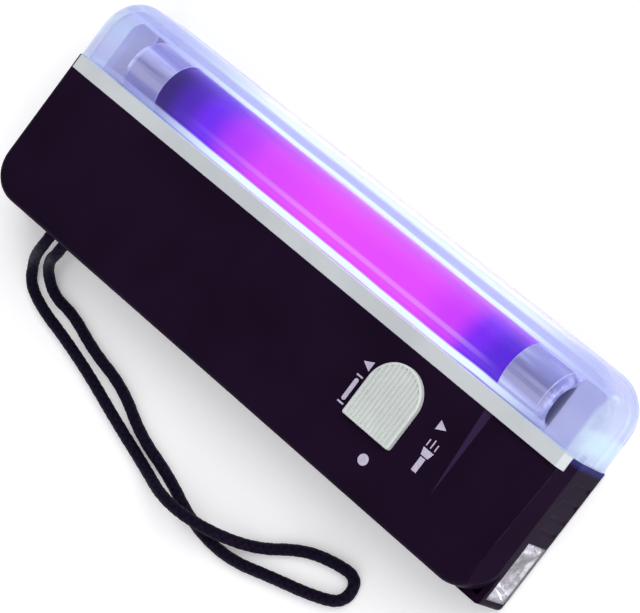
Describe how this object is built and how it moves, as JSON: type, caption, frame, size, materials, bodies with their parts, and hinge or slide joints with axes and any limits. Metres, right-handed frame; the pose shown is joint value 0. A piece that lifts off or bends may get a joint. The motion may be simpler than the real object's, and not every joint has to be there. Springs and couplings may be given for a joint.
{
  "type": "counterfeit bill detector",
  "caption": "Hand-held ultraviolet banknote lamp: flat dark body with a clear-covered blacklight tube along one edge, a slide switch, an end torch and a wrist cord loop.",
  "frame": {"origin": "centre of the body's outline on its flat back, without the wrist cord", "axes": "+X along the body towards the torch end, +Y from the strap edge to the clear lamp cover, +Z out of the front face with the switch"},
  "size_m": [0.16, 0.0884, 0.0218],
  "materials": {
    "housing": "satin dark aubergine ABS",
    "clear_cover": "clear polycarbonate",
    "tray": "satin pale grey",
    "lamp_glass": "dark ultraviolet filter glass, lit",
    "cap_metal": "polished",
    "lamp_base": "moulded insulator",
    "pin_metal": "nickel plated",
    "holder": "satin white",
    "brass": "spring strip",
    "spring_steel": "nickel plated",
    "knob": "satin pale grey",
    "switch_metal": "tinned",
    "black_plastic": "moulded",
    "board": "brown phenolic laminate",
    "ferrite": "sintered",
    "copper_winding": "enamelled wire",
    "bobbin": "moulded",
    "capacitor_red": "dipped epoxy",
    "capacitor_sleeve": "shrink sleeve",
    "resistor": "coated",
    "battery": "printed jacket",
    "reflector": "metallised facets",
    "led": "clear epoxy",
    "torch_window": "clear",
    "screw": "zinc plated",
    "wire_white": "insulation",
    "wire_red": "insulation",
    "cord": "braided nylon"
  },
  "bodies": {
    "root": {"front_housing": "housing", "rear_housing": "housing", "lamp_tray": "tray", "lamp_glass": "lamp_glass", "lamp_cap_left": "cap_metal", "lamp_cap_right": "cap_metal", "lamp_base_left": "lamp_base", "lamp_base_right": "lamp_base", "lamp_pins_left": "pin_metal", "lamp_pins_right": "pin_metal", "lampholder_left": "holder", "lampholder_right": "holder", "lampholder_contacts_left": "brass", "lampholder_contacts_right": "brass", "switch_case": "switch_metal", "circuit_board": "board", "inverter_core": "ferrite", "inverter_bobbin": "bobbin", "inverter_winding": "copper_winding", "drive_transistor": "black_plastic", "film_capacitor": "capacitor_red", "electrolytic_capacitor": "capacitor_sleeve", "resistors": "resistor", "battery_1": "battery", "battery_2": "battery", "battery_3": "battery", "battery_4": "battery", "battery_bridge_contact": "spring_steel", "battery_positive_contact": "spring_steel", "battery_negative_contact": "spring_steel", "battery_bridge_spring": "spring_steel", "battery_negative_spring": "spring_steel", "torch_reflector": "reflector", "torch_led": "led", "torch_window": "torch_window", "housing_screws": "screw", "wires_lamp_left": "wire_white", "wires_lamp_right": "wire_white", "wires_battery": "wire_red", "wires_torch": "wire_red", "strap_clamp": "spring_steel", "strap_cord": "cord"},
    "switch_slider": {"slider_knob": "knob", "switch_lever": "black_plastic"},
    "battery_door": {"battery_cover": "housing"},
    "lamp_hood": {"lamp_cover": "clear_cover"}
  },
  "joints": [
    {"name": "switch_slide", "type": "slide", "parent": "root", "child": "switch_slider", "axis": [1, 0, 0], "range_m": [0, 0.005]},
    {"name": "battery_door_slide", "type": "slide", "parent": "root", "child": "battery_door", "axis": [-1, 0, 0], "range_m": [0, 0.107]},
    {"name": "lamp_hood_pull", "type": "slide", "parent": "root", "child": "lamp_hood", "axis": [0, 1, 0], "range_m": [0, 0.03]}
  ]
}
